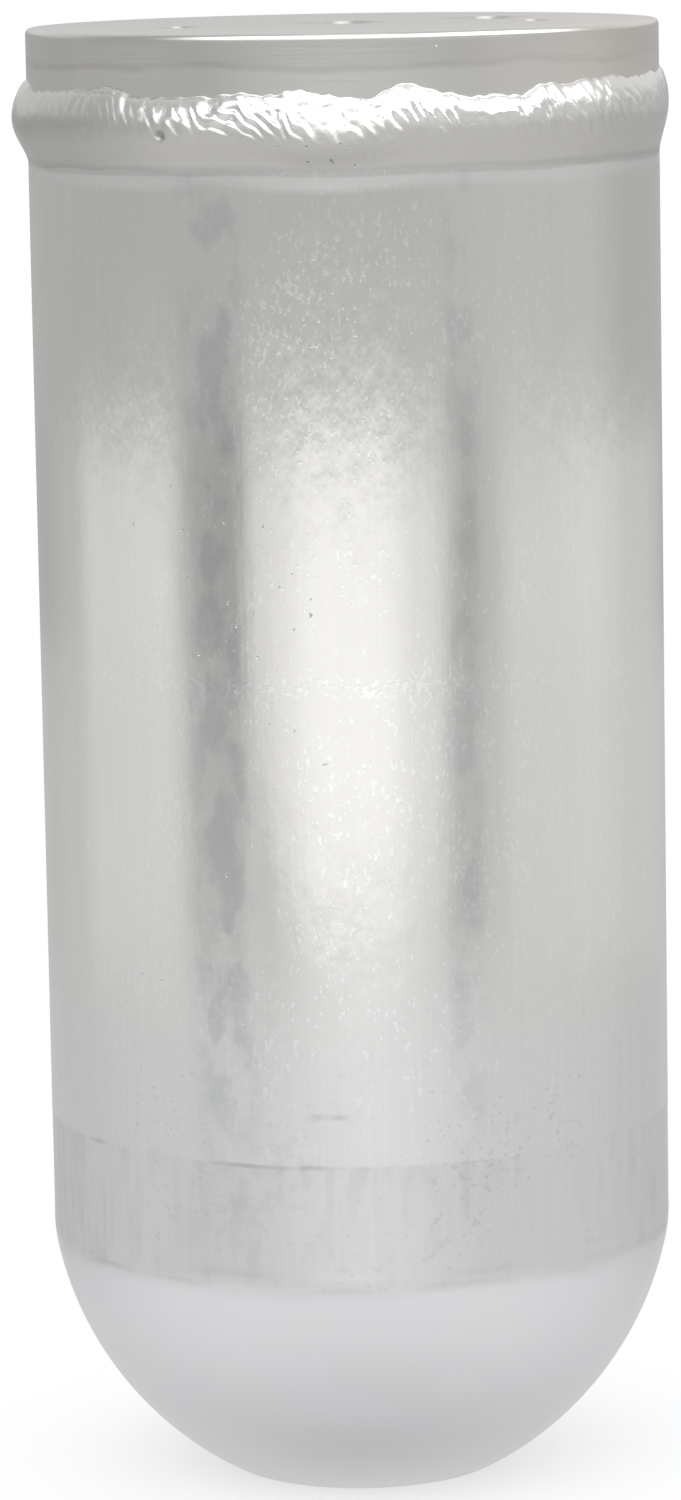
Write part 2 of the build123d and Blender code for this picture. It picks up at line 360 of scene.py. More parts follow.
def bead_radius(turn, across, tooth, lift):
    """The body's radius plus proud(t) sin(pi s^k(t))^m, with ripples and lumps on it.

    The crest is where s^k is a half, and m grows with s so that the lower toe runs out
    gently. The ripples fade with lift towards the toes and where the run was calm.
    """
    proud = BEAD_PROUD - BEAD_HEAVY * np.cos(turn) + 0.10 * MM * waves(turn, 0, 5, 8, 4, 22)
    crest = BEAD_CREST - 0.035 * np.cos(turn) + swells(turn, CREST_SHIFTS)
    crest = crest + 0.018 * waves(turn, 0, 13, 8, 6, 22)
    power = math.log(0.5) / np.log(crest)
    bulge = np.sin(np.pi * across**power) ** (0.80 + 0.60 * across)
    calm = np.maximum(*[near(turn, *span) for span in CALM_SPANS])
    strength = np.clip(0.62 + 0.45 * waves(turn, 0, 11, 7, 2, 9), 0.1, 1.2) * (1 - 0.92 * calm)
    ripples = 0.24 * MM * strength * tooth * lift
    lumps = waves(turn, across * 3, 23, 34, 30, 170, 7) * 0.075 * MM
    return BODY_R + proud * bulge + ripples + lumps * lift * (0.1 + strength)


def bead_height(turn, across, tooth, lift):
    """z = sway(t) + top - s (top + bottom), with puddles and dips that fade from the upper
    toe as (1 - s)^2 and laps that fade from the lower one as s^2.
    """
    sway = 0.5 * BEAD_SWAY * (np.sin(3 * turn + 0.7) + np.sin(7 * turn) / 2)
    puddles = 0.34 * MM * waves(turn, 0, 3, 12, 14, 44)
    puddles = puddles + 0.10 * MM * waves(turn, 0, 8, 12, 60, 150)
    dips = MM * swells(turn, TOE_DIPS)
    laps = 0.16 * MM * waves(turn, 0, 9, 9, 5, 24)
    z = JOINT + sway + BEAD_TOP - across * (BEAD_TOP + BEAD_BOTTOM)
    return z + (puddles - dips) * (1 - across) ** 2 + laps * across**2 + 0.06 * MM * tooth * lift


def make_weld_bead():
    """The cap of the weld on a grid: round the joint by t, across it by s from the upper toe.

    A gas pit and a lap line are pressed in as bell curves of the turn and the height. The
    surface is closed by a plain back just inside the wall.
    """
    turn = np.linspace(0, 2 * np.pi, BEAD_STEPS, endpoint=False)[:, None]
    across = np.linspace(0, 1, BEAD_COLUMNS)[None, :]
    tooth = bead_ripples(turn, across)
    lift = np.sin(np.pi * np.clip(across * 1.5, 0, 1)) ** 0.7
    r = bead_radius(turn, across, tooth, lift)
    z = bead_height(turn, across, tooth, lift)
    pit = near(turn, PIT_TURN, 0.9) * np.exp(-(((z - PIT_HEIGHT) / (0.5 * MM)) ** 2))
    lap_line = near(turn, LAP_TURN, 12) * np.exp(-(((z - LAP_HEIGHT) / (0.16 * MM)) ** 2))
    r = np.maximum(r - 0.3 * MM * pit - 0.16 * MM * lap_line, BODY_R - 0.02 * MM)
    back = np.full_like(r[:, :1], BODY_R - BEAD_ROOT)
    r = np.concatenate([back, r, back, back], axis=1)
    z = np.concatenate([z[:, :1], z, z[:, -1:], z[:, :1]], axis=1)
    points = np.stack([r * np.cos(turn), r * np.sin(turn), z], axis=-1).reshape(-1, 3)
    faces = grid_faces(*r.shape, wrap=True)
    return finished_piece("weld_run", points, faces, 60, "weld_bead")


# ------------------------------------------------------------------- building materials
def add(tree, kind, inputs=None, **settings):
    """One shader node with its settings, and its inputs as values or feeding sockets."""
    item = tree.nodes.new(kind)
    for key, value in settings.items():
        setattr(item, key, value)
    for key, value in (inputs or {}).items():
        if isinstance(value, bpy.types.NodeSocket):
            tree.links.new(value, item.inputs[key])
        else:
            item.inputs[key].default_value = value
    return item


def calc(tree, operation, first, second=0.0, third=0.0):
    """The result of one Math node."""
    inputs = {0: first, 1: second, 2: third}
    return add(tree, "ShaderNodeMath", inputs, operation=operation).outputs[0]


def times(tree, first, *others):
    """The product of two or more numbers."""
    for other in others:
        first = calc(tree, "MULTIPLY", first, other)
    return first


def most(tree, first, *others):
    """The largest of two or more numbers."""
    for other in others:
        first = calc(tree, "MAXIMUM", first, other)
    return first


def minus(tree, first, second):
    """The first number less the second."""
    return calc(tree, "SUBTRACT", first, second)


def apart(tree, first, second):
    """How far two numbers are from each other."""
    return calc(tree, "ABSOLUTE", minus(tree, first, second))


def raised(tree, height, mask, by):
    """A height with a mask times a number added to it."""
    return calc(tree, "MULTIPLY_ADD", mask, by, height)


def ease(tree, value, start, end):
    """0 before start and 1 after end, with a smooth step between them."""
    inputs = {"Value": value, "From Min": start, "From Max": end}
    return add(tree, "ShaderNodeMapRange", inputs, interpolation_type="SMOOTHSTEP").outputs[0]


def blend(tree, share, first, second):
    """Colour mixed from first to second by share."""
    item = add(tree, "ShaderNodeMix", {"Factor": share}, data_type="RGBA")
    for name, value in (("A_Color", first), ("B_Color", second)):
        socket = next(s for s in item.inputs if s.identifier == name)
        if isinstance(value, bpy.types.NodeSocket):
            tree.links.new(value, socket)
        else:
            socket.default_value = (*value, 1.0)
    return next(s for s in item.outputs if s.identifier == "Result_Color")


def mixed(tree, share, first, second):
    """Number mixed from first to second by share."""
    return calc(tree, "MULTIPLY_ADD", minus(tree, second, first), share, first)


def tinted(tree, colour, mask, share, tint):
    """Colour mixed towards a tint where the mask is, by no more than share."""
    return blend(tree, times(tree, mask, share), colour, tint)


def new_group(name, inputs, output):
    """An empty node group with number inputs and their defaults, and one number output."""
    tree = bpy.data.node_groups.new(name, "ShaderNodeTree")
    for label, value in inputs.items():
        socket = tree.interface.new_socket(label, in_out="INPUT", socket_type="NodeSocketFloat")
        socket.default_value = value
    tree.interface.new_socket(output, in_out="OUTPUT", socket_type="NodeSocketFloat")
    given = tree.nodes.new("NodeGroupInput").outputs
    return tree, given, tree.nodes.new("NodeGroupOutput").inputs[0]


def use(tree, group, **inputs):
    """The output of a node group placed in a material, with its own values."""
    item = add(tree, "ShaderNodeGroup", node_tree=group)
    for key, value in inputs.items():
        socket = item.inputs[key.capitalize()]
        if isinstance(value, bpy.types.NodeSocket):
            tree.links.new(value, socket)
        else:
            socket.default_value = value
    return item.outputs[0]


def object_axes(tree):
    """The Object coordinates, whole and as separate X, Y and Z."""
    whole = add(tree, "ShaderNodeTexCoord").outputs["Object"]
    return whole, add(tree, "ShaderNodeSeparateXYZ", {0: whole}).outputs


PER_METRE = 1000.0  # millimetres, which the groups below take their sizes in


def grain_group():
    """Stretched noise: cells per millimetre across and along the part's axis."""
    tree, given, result = new_group(
        "stretched_grain", {"Across": 1.0, "Along": 0.1, "Detail": 3.0, "Seed": 0.0}, "Value"
    )
    _, axes = object_axes(tree)
    across = times(tree, given["Across"], PER_METRE)
    along = times(tree, given["Along"], PER_METRE)
    x = times(tree, axes[0], across)
    y = times(tree, axes[1], across)
    z = raised(tree, times(tree, given["Seed"], 37.0), axes[2], along)
    vector = add(tree, "ShaderNodeCombineXYZ", {0: x, 1: y, 2: z}).outputs[0]
    inputs = {"Vector": vector, "Scale": 1.0, "Detail": given["Detail"]}
    noise = add(tree, "ShaderNodeTexNoise", inputs)
    tree.links.new(noise.outputs[0], result)
    return tree


def zone_group():
    """1 between two heights in millimetres, with soft, wandering borders."""
    tree, given, result = new_group(
        "height_zone", {"Low": 0.0, "High": 1.0, "Soft": 0.3, "Wander": 0.5, "Seed": 0.0}, "Mask"
    )
    whole, axes = object_axes(tree)
    inputs = {"Vector": whole, "Scale": 70.0, "W": given["Seed"]}
    noise = add(tree, "ShaderNodeTexNoise", inputs, noise_dimensions="4D").outputs[0]
    drift = times(tree, minus(tree, noise, 0.5), 4.0)
    height = raised(tree, times(tree, drift, given["Wander"]), axes[2], PER_METRE)
    rise = ease(tree, height, minus(tree, given["Low"], given["Soft"]), given["Low"])
    fall = ease(tree, height, given["High"], calc(tree, "ADD", given["High"], given["Soft"]))
    mask = times(tree, rise, minus(tree, 1.0, fall))
    tree.links.new(mask, result)
    return tree


def fleck_group():
    """Scattered small marks: where fine noise passes a limit inside patches of coarse noise."""
    tree, given, result = new_group(
        "flecks", {"Size": 1.0, "Amount": 0.5, "Patch": 20.0, "Seed": 0.0, "Squash": 1.0}, "Mask"
    )
    whole, axes = object_axes(tree)
    z = times(tree, axes[2], given["Squash"])
    squashed = add(tree, "ShaderNodeCombineXYZ", {0: axes[0], 1: axes[1], 2: z}).outputs[0]
    scale = calc(tree, "DIVIDE", PER_METRE, given["Size"])
    patch = calc(tree, "DIVIDE", PER_METRE, given["Patch"])
    inputs = {"Vector": squashed, "Scale": scale, "W": given["Seed"], "Detail": 1.0}
    fine = add(tree, "ShaderNodeTexNoise", inputs, noise_dimensions="4D").outputs[0]
    inputs = {"Vector": whole, "Scale": patch, "W": calc(tree, "ADD", given["Seed"], 9.0)}
    coarse = add(tree, "ShaderNodeTexNoise", inputs, noise_dimensions="4D").outputs[0]
    spread = times(tree, minus(tree, coarse, 0.5), 0.5)
    limit = minus(tree, minus(tree, 0.95, times(tree, given["Amount"], 0.5)), spread)
    mask = ease(tree, fine, limit, calc(tree, "ADD", limit, 0.06))
    tree.links.new(mask, result)
    return tree


def ring_group():
    """Turning marks: a wave along the distance from the axis, pitch in millimetres."""
    tree, given, result = new_group("turning_marks", {"Pitch": 0.3, "Seed": 0.0}, "Value")
    _, axes = object_axes(tree)
    x2 = times(tree, axes[0], axes[0])
    r = calc(tree, "SQRT", calc(tree, "MULTIPLY_ADD", axes[1], axes[1], x2))
    cells = calc(tree, "DIVIDE", times(tree, r, PER_METRE), given["Pitch"])
    vector = add(tree, "ShaderNodeCombineXYZ", {0: cells, 1: given["Seed"]}).outputs[0]
    noise = add(tree, "ShaderNodeTexNoise", {"Vector": vector, "Scale": 1.0, "Detail": 2.0})
    tree.links.new(noise.outputs[0], result)
    return tree


GRAIN = grain_group()
ZONE = zone_group()
FLECKS = fleck_group()
RINGS = ring_group()


def new_material(name):
    """A material with only a Principled shader and its output; returns it, its tree, shader."""
    material = bpy.data.materials.new(name)
    material.use_nodes = True
    tree = material.node_tree
    tree.nodes.clear()
    shader = tree.nodes.new("ShaderNodeBsdfPrincipled")
    output = tree.nodes.new("ShaderNodeOutputMaterial")
    tree.links.new(shader.outputs[0], output.inputs[0])
    return material, tree, shader


def finish_material(tree, shader, colour, roughness, metallic, height, depth):
    """Feeds the shader: colour, roughness, and a bump of that depth in metres."""
    tree.links.new(colour, shader.inputs["Base Color"])
    tree.links.new(roughness, shader.inputs["Roughness"])
    shader.inputs["Metallic"].default_value = metallic
    bump = add(tree, "ShaderNodeBump", {"Height": height, "Distance": depth, "Strength": 1.0})
    tree.links.new(bump.outputs[0], shader.inputs["Normal"])


def around_axis(tree, shader, amount):
    """Stretches the gloss round the part's axis, as lines drawn along the axis do."""
    whole, _ = object_axes(tree)
    inputs = {0: (0.0, 0.0, 1.0), 1: whole}
    cross = add(tree, "ShaderNodeVectorMath", inputs, operation="CROSS_PRODUCT").outputs[0]
    unit = add(tree, "ShaderNodeVectorMath", {0: cross}, operation="NORMALIZE").outputs[0]
    tree.links.new(unit, shader.inputs["Tangent"])
    shader.inputs["Anisotropic"].default_value = amount


BARE = (0.885, 0.872, 0.842)
COOL = (0.90, 0.90, 0.90)
DULL = (0.70, 0.70, 0.695)
SOOT = (0.30, 0.30, 0.30)
FROST = (0.93, 0.93, 0.94)
SATIN = (0.905, 0.91, 0.93)
# near-white of the knocks, partly a painted glint
KNOCK_AND_GLINT_WHITE = (0.98, 0.98, 0.98)
# bluish grey of the painted dark reflection strips
DARK_REFLECTION_GREY = (0.56, 0.585, 0.61)


def band_smears(tree):
    """Upright smears in the band, stronger in some patches than in others."""
    smears = use(tree, GRAIN, across=0.60, along=0.12, detail=5.0, seed=3.0)
    patches = use(tree, GRAIN, across=0.05, along=0.05, detail=4.0, seed=17.0)
    patches = mixed(tree, ease(tree, patches, 0.40, 0.62), 0.25, 1.0)
    return times(tree, ease(tree, smears, 0.42, 0.68), patches)


def band_lines(tree):
    """Broken dark lines round the can, at both borders of the band and a little above it."""
    broken = use(tree, GRAIN, across=0.07, along=0.03, detail=3.0, seed=5.0)
    upper = use(tree, ZONE, low=44.9, high=45.1, soft=0.3, wander=0.35)
    above = use(tree, ZONE, low=50.8, high=51.0, soft=0.5, wander=0.6, seed=4.0)
    lower = use(tree, ZONE, low=29.4, high=29.9, soft=0.7, wander=0.9, seed=2.0)
    upper = times(tree, upper, ease(tree, broken, 0.52, 0.66))
    above = times(tree, above, ease(tree, broken, 0.60, 0.70))
    lower = times(tree, lower, mixed(tree, ease(tree, broken, 0.40, 0.60), 0.15, 0.7))
    return most(tree, upper, above, lower)


def band_dirt(tree):
    """Faint smudges and grit on the band and near it."""
    smudges = use(tree, FLECKS, size=1.7, amount=0.58, patch=22.0, seed=6.0, squash=1.3)
    grit = use(tree, FLECKS, size=0.8, amount=0.52, patch=18.0, seed=18.0, squash=1.2)
    dirt = most(tree, times(tree, smudges, 0.07), times(tree, grit, 0.17))
    around = use(tree, ZONE, low=24.0, high=52.0, soft=9.0, wander=1.5, seed=3.0)
    return times(tree, dirt, around)


def front_knocks_and_glints(tree, wall):
    """Pale knocks over the wall and a rubbed row round it, most of them at the front; their
    near-white colour is partly painted glints.
    """
    flecks = use(tree, FLECKS, size=0.45, amount=0.62, patch=14.0, seed=12.0, squash=0.5)
    knocks_and_glints = use(tree, FLECKS, size=0.75, amount=0.44, patch=16.0, seed=14.0, squash=0.6)
    row = use(tree, ZONE, low=101.2, high=102.6, soft=1.0, wander=0.8, seed=10.0)
    rubbed_glints = use(tree, FLECKS, size=0.6, amount=0.84, patch=14.0, seed=15.0, squash=1.2)
    marks = times(tree, wall, most(tree, flecks, knocks_and_glints))
    marks = most(tree, marks, times(tree, row, rubbed_glints))
    _, axes = object_axes(tree)
    beside = ease(tree, calc(tree, "ABSOLUTE", axes[0]), 26.0 * MM, 9.0 * MM)
    front_share = times(tree, front_side(tree), beside)
    return times(tree, marks, mixed(tree, front_share, 0.30, 1.0))


def painted_reflection_strips(tree, wall):
    """Painted dark reflections, mottled, in two upright strips at the front, a wide one and a
    narrow, fainter one.
    """
    _, axes = object_axes(tree)
    wide = ease(tree, apart(tree, axes[0], -15.5 * MM), 5.0 * MM, 1.5 * MM)
    narrow = ease(tree, apart(tree, axes[0], 13.0 * MM), 3.0 * MM, 0.8 * MM)
    strips = times(tree, front_side(tree), most(tree, wide, times(tree, narrow, 0.7)))
    mottle = use(tree, GRAIN, across=0.30, along=0.16, detail=6.0, seed=21.0)
    return times(tree, ease(tree, mottle, 0.44, 0.60), strips, wall)


def front_side(tree):
    """1 on the -Y side of the part and 0 on the other, with a soft border."""
    _, axes = object_axes(tree)
    return ease(tree, axes[1], -4.0 * MM, -14.0 * MM)


def drawn_aluminium():
    """Semi-bright drawn wall, a duller band above the dome, a satin dome, handling marks that are
    partly painted glints, and painted dark reflection strips at the front.
    """
    material, tree, shader = new_material("drawn_aluminium")
    around_axis(tree, shader, 0.6)
    streaks = use(tree, GRAIN, across=2.2, along=0.03, detail=4.0)
    broad = use(tree, GRAIN, across=0.14, along=0.012, detail=2.0, seed=1.0)
    cloud = use(tree, GRAIN, across=0.10, along=0.10, detail=5.0, seed=2.0)
    low = use(tree, ZONE, low=-5.0, high=50.0, soft=30.0, wander=2.0, seed=16.0)
    band = use(tree, ZONE, low=29.9, high=44.9, soft=0.5, wander=0.35)
    dome = use(tree, ZONE, low=-5.0, high=29.4, soft=1.4, wander=0.4)
    wall = use(tree, ZONE, low=58.0, high=150.0, soft=22.0, wander=4.0, seed=9.0)
    frost = use(tree, ZONE, low=160.4, high=161.6, soft=1.5, wander=0.5, seed=7.0)
    soot = use(tree, ZONE, low=161.3, high=162.2, soft=0.3, wander=0.3, seed=8.0)
    pits = use(tree, FLECKS, size=0.9, amount=0.27, patch=40.0, seed=11.0)
    dents = use(tree, GRAIN, across=0.50, along=0.20, detail=3.0, seed=20.0)
    smears = band_smears(tree)
    marks = front_knocks_and_glints(tree, wall)

    colour = blend(tree, low, BARE, COOL)
    colour = tinted(tree, colour, streaks, 0.30, DULL)
    colour = tinted(tree, colour, broad, 0.20, DULL)
    colour = tinted(tree, colour, band, mixed(tree, smears, 0.05, 0.50), DULL)
    colour = tinted(tree, colour, band_lines(tree), 0.45, SOOT)
    colour = blend(tree, band_dirt(tree), colour, SOOT)
    colour = tinted(tree, colour, frost, 0.25, FROST)
    colour = tinted(tree, colour, soot, 0.22, SOOT)
    colour = tinted(tree, colour, pits, 0.35, SOOT)
    colour = tinted(tree, colour, dome, mixed(tree, cloud, 0.6, 1.0), SATIN)
    # partly painted glints: the near-white flecks are knocks and also stand in for bright glints
    colour = tinted(tree, colour, marks, 0.6, KNOCK_AND_GLINT_WHITE)
    # painted reflection: mottled dark strips at the front stand in for dark bands the wall mirrors
    colour = tinted(tree, colour, painted_reflection_strips(tree, wall), 0.42, DARK_REFLECTION_GREY)

    satin = most(tree, times(tree, band, 0.75), dome)
    bright = mixed(tree, cloud, 0.08, 0.14)
    roughness = mixed(tree, satin, bright, mixed(tree, cloud, 0.28, 0.42))
    roughness = mixed(tree, frost, roughness, 0.28)

    height = times(tree, streaks, 0.10)
    height = raised(tree, height, times(tree, dents, wall), 0.40)
    height = raised(tree, height, marks, 0.03)
    height = raised(tree, height, times(tree, band, smears), 0.10)
    height = raised(tree, height, pits, -0.5)
    finish_material(tree, shader, colour, roughness, 1.0, height, 0.05 * MM)
    return material


def turned_aluminium():
    """Turned head: fine rings on its face and side, heat-dulled towards the weld, and warmer and
    lighter towards +X, partly heat tint and partly painted reflection.
    """
    material, tree, shader = new_material("turned_aluminium")
    rings = use(tree, RINGS, pitch=0.22)
    side_lines = use(tree, GRAIN, across=0.02, along=5.0, detail=2.0)
    cloud = use(tree, GRAIN, across=0.16, along=0.16, detail=5.0, seed=2.0)
    heat = use(tree, ZONE, low=160.0, high=173.2, soft=1.0, wander=0.75, seed=3.0)
    edge = use(tree, ZONE, low=173.5, high=173.7, soft=0.6, wander=0.75, seed=3.0)
    pits = use(tree, FLECKS, size=0.9, amount=0.34, patch=18.0, seed=5.0)
    _, axes = object_axes(tree)
    heat_tint_and_reflection = ease(tree, axes[0], 0.2 * BODY_R, BODY_R)

    colour = blend(tree, times(tree, cloud, 0.55), (0.73, 0.72, 0.695), (0.58, 0.575, 0.56))
    colour = tinted(tree, colour, heat, 0.35, (0.74, 0.735, 0.71))
    colour = tinted(tree, colour, edge, mixed(tree, cloud, 0.0, 0.40), (0.36, 0.35, 0.33))
    # partly painted reflection: the +X side is coloured warmer and lighter
    colour = tinted(tree, colour, heat_tint_and_reflection, 0.55, (0.92, 0.87, 0.79))
    colour = tinted(tree, colour, pits, 0.5, SOOT)
    roughness = mixed(tree, heat, mixed(tree, cloud, 0.18, 0.30), 0.27)
    height = raised(tree, times(tree, side_lines, 0.5), rings, 0.5)
    height = raised(tree, height, pits, -2.0)
    finish_material(tree, shader, colour, roughness, 1.0, height, 0.03 * MM)
    return material


def spot(tree, degrees, r, z, edge, core):
    """1 within core of a point given by its turn, radius and height, and 0 beyond edge."""
    turn = math.radians(degrees)
    place = (r * math.cos(turn), r * math.sin(turn), z)
    whole, _ = object_axes(tree)
    off = add(tree, "ShaderNodeVectorMath", {0: whole, 1: place}, operation="DISTANCE")
    return ease(tree, off.outputs["Value"], edge, core)


def weld_aluminium():
    """Bright solidified metal: fine crinkles on the crest, painted grey shade on the lower half,
    soot at the toes, and a painted dark reflection where the run starts.
    """
    material, tree, shader = new_material("weld_aluminium")
    crinkle = use(tree, GRAIN, across=1.1, along=1.1, detail=4.0)
    cloud = use(tree, GRAIN, across=0.14, along=0.60, detail=5.0, seed=1.0)
    painted_underside_shade = use(tree, ZONE, low=150.0, high=166.4, soft=1.8, wander=0.6, seed=2.0)
    toe = use(tree, ZONE, low=161.0, high=162.0, soft=0.5, wander=0.3, seed=8.0)
    # painted reflection: a dark grey patch on the bead where the run starts stands in for a dark
    # reflection
    start = spot(tree, DARK_REFLECTION_TURN, BODY_R, DARK_REFLECTION_HEIGHT, 21.0 * MM, 8.0 * MM)
    start = times(tree, start, mixed(tree, cloud, 0.75, 0.45))
    pits = use(tree, FLECKS, size=0.8, amount=0.28, patch=14.0, seed=4.0)
    gas_pit = spot(tree, PIT_TURN, BODY_R + BEAD_PROUD, PIT_HEIGHT, 0.95 * MM, 0.35 * MM)
    pits = most(tree, pits, gas_pit)

    colour = blend(tree, times(tree, cloud, 0.5), (0.92, 0.915, 0.90), (0.72, 0.71, 0.69))
    # painted shade: the down-facing lower half of the bead is coloured a darker grey
    colour = tinted(tree, colour, painted_underside_shade, mixed(tree, cloud, 0.95, 0.75), (0.60, 0.59, 0.565))
    colour = tinted(tree, colour, toe, 0.30, (0.42, 0.43, 0.46))
    colour = blend(tree, start, colour, (0.50, 0.495, 0.48))
    colour = tinted(tree, colour, pits, 0.7, SOOT)
    roughness = mixed(tree, painted_underside_shade, mixed(tree, cloud, 0.18, 0.32), 0.44)
    roughness = mixed(tree, start, roughness, 0.46)
    height = raised(tree, crinkle, pits, -0.8)
    finish_material(tree, shader, colour, roughness, 1.0, height, 0.08 * MM)
    return material


def grained_metal(name, light, dark, across, along, smooth, rough):
    """Plated, drawn or rolled metal of a hidden piece: grain, cloudy gloss and handling flecks."""
    material, tree, shader = new_material(name)
    grain = use(tree, GRAIN, across=across, along=along, detail=4.0)
    cloud = use(tree, GRAIN, across=0.3, along=0.3, detail=4.0, seed=3.0)
    flecks = use(tree, FLECKS, size=0.8, amount=0.55, patch=9.0)
    colour = blend(tree, grain, light, dark)
    colour = tinted(tree, colour, flecks, 0.4, SOOT)
    roughness = mixed(tree, cloud, smooth, rough)
    height = raised(tree, grain, flecks, -0.5)
    finish_material(tree, shader, colour, roughness, 1.0, height, 0.04 * MM)
    return material


def woven_gauze():
    """Stainless wire cloth: sine of the turn round the sleeve times sine of the height."""
    material, tree, shader = new_material("gauze_steel")
    _, axes = object_axes(tree)
    turn = calc(tree, "ARCTAN2", axes[1], axes[0])
    warp = calc(tree, "SINE", times(tree, turn, 120.0))
    weft = calc(tree, "SINE", times(tree, axes[2], 2 * math.pi / (0.35 * MM)))
    weave = calc(tree, "MULTIPLY_ADD", times(tree, warp, weft), 0.5, 0.5)
    cloud = use(tree, GRAIN, across=0.5, along=0.5)
    # painted shade: the low hollows of the weave are coloured dark
    colour = blend(tree, weave, (0.30, 0.30, 0.30), (0.68, 0.68, 0.67))
    roughness = mixed(tree, cloud, 0.28, 0.42)
    finish_material(tree, shader, colour, roughness, 1.0, weave, 0.12 * MM)
    return material


def needled_felt():
    """White felt: long soft fibres over small needle dimples."""
    material, tree, shader = new_material("felt")
    fibres = use(tree, GRAIN, across=1.6, along=0.5, detail=6.0)
    shaded_dimples = use(tree, FLECKS, size=1.6, amount=0.85, patch=8.0)
    colour = blend(tree, fibres, (0.90, 0.885, 0.84), (0.74, 0.72, 0.66))
    # painted shade: the needle dimples are tinted darker
    colour = tinted(tree, colour, shaded_dimples, 0.35, (0.60, 0.58, 0.52))
    height = raised(tree, fibres, shaded_dimples, -0.8)
    roughness = mixed(tree, fibres, 0.9, 1.0)
    finish_material(tree, shader, colour, roughness, 0.0, height, 0.35 * MM)
    return material


def sieve_beads():
    """Packed beige beads: rounded cells with painted shade in the gaps, each bead a slightly
    different tone.
    """
    material, tree, shader = new_material("molecular_sieve")
    whole, _ = object_axes(tree)
    cells = add(tree, "ShaderNodeTexVoronoi", {"Vector": whole, "Scale": 520.0, "Randomness": 0.85})
    painted_gap_shade = ease(tree, cells.outputs["Distance"], 0.42, 0.68)
    tone = add(tree, "ShaderNodeSeparateXYZ", {0: cells.outputs["Color"]}).outputs[0]
    colour = blend(tree, tone, (0.80, 0.71, 0.58), (0.68, 0.58, 0.46))
    # painted shade: the gaps between the beads are coloured dark brown
    colour = blend(tree, painted_gap_shade, colour, (0.30, 0.24, 0.18))
    ball = minus(tree, 1.0, cells.outputs["Distance"])
    roughness = mixed(tree, tone, 0.78, 0.92)
    finish_material(tree, shader, colour, roughness, 0.0, ball, 0.9 * MM)
    return material


def moulded_nylon():
    """Natural nylon: slightly waxy, with faint flow clouds and a fine spark finish."""
    material, tree, shader = new_material("cage_plastic")
    cloud = use(tree, GRAIN, across=0.35, along=0.2, detail=3.0)
    spark = use(tree, GRAIN, across=6.0, along=6.0, detail=2.0, seed=2.0)
    colour = blend(tree, cloud, (0.86, 0.85, 0.79), (0.78, 0.76, 0.69))
    roughness = mixed(tree, spark, 0.38, 0.55)
    finish_material(tree, shader, colour, roughness, 0.0, spark, 0.02 * MM)
    return material


def dress(node, material):
    """Gives every material slot of a CAD node one finish."""
    slots = nodes[node].data.materials
    slots.clear()
    slots.append(material)


# -------------------------------------------------------------------- studio and light
# What the metal mirrors. Azimuth 0 is towards -Y and grows towards +X, elevation is above
# the horizon, both in degrees; a level of 1 is white.
WINDOW_LEVELS = (  # azimuth and level of the room at window height
    (-180, 0.45),
    (-150, 0.46),
    (-122, 0.55),
    (-108, 0.74),
    (-72, 0.80),
    (-56, 0.40),
    (-44, 0.35),
    (-34, 0.84),
    (-10, 1.12),
    (8, 1.12),
    (27, 0.86),
    (43, 0.44),
    (51, 0.56),
    (62, 0.74),
    (95, 0.78),
    (130, 0.64),
    (180, 0.45),
)
WINDOW_MIDDLE = 4.0  # azimuth of the front window
WINDOW_HALF = 38.0  # where its lower corners have curved right up
SILL_CURVE = 1.3  # degrees by which it has risen there
SILL_LOW, SILL_HIGH = -10.9, -9.3  # elevations
SILL_LEVEL = 0.50
BEHIND_LEVEL = 0.76
BANK_MIDDLE = 17.0  # azimuth of the bank of lamps above the front
BANK_LEVEL = 2.6
ZENITH_LEVEL = 1.5
AMBIENT = 0.98  # what matt surfaces are lit by from all round


def window_light(tree, azimuth, elevation):
    """Windows and posts by azimuth, down to a sill whose corners rise as a fourth power."""
    share = calc(tree, "MULTIPLY_ADD", azimuth, 1 / 360, 0.5)
    windows = add(tree, "ShaderNodeValToRGB", {"Fac": share})
    ramp = windows.color_ramp
    ramp.interpolation = "EASE"
    while len(ramp.elements) < len(WINDOW_LEVELS):
        ramp.elements.new(0.5)
    for element, (angle, level) in zip(ramp.elements, WINDOW_LEVELS):
        element.position = angle / 360 + 0.5
        element.color = (level, level, level, 1.0)
    front = apart(tree, azimuth, WINDOW_MIDDLE)
    curve = calc(tree, "POWER", calc(tree, "DIVIDE", front, WINDOW_HALF), 4.0)
    corner = times(tree, curve, SILL_CURVE)
    sill = calc(tree, "MINIMUM", calc(tree, "ADD", corner, SILL_LOW), SILL_HIGH)
    open_pane = ease(tree, minus(tree, elevation, sill), -0.30, 0.35)
    beside = ease(tree, front, 33.0, 37.0)
    fading = times(tree, ease(tree, elevation, -7.3, -8.5), beside, 0.45)
    level = mixed(tree, fading, windows.outputs[0], 0.68)
    shaded = mixed(tree, ease(tree, front, 44.0, 36.0), level, SILL_LEVEL)
    return mixed(tree, open_pane, shaded, level)


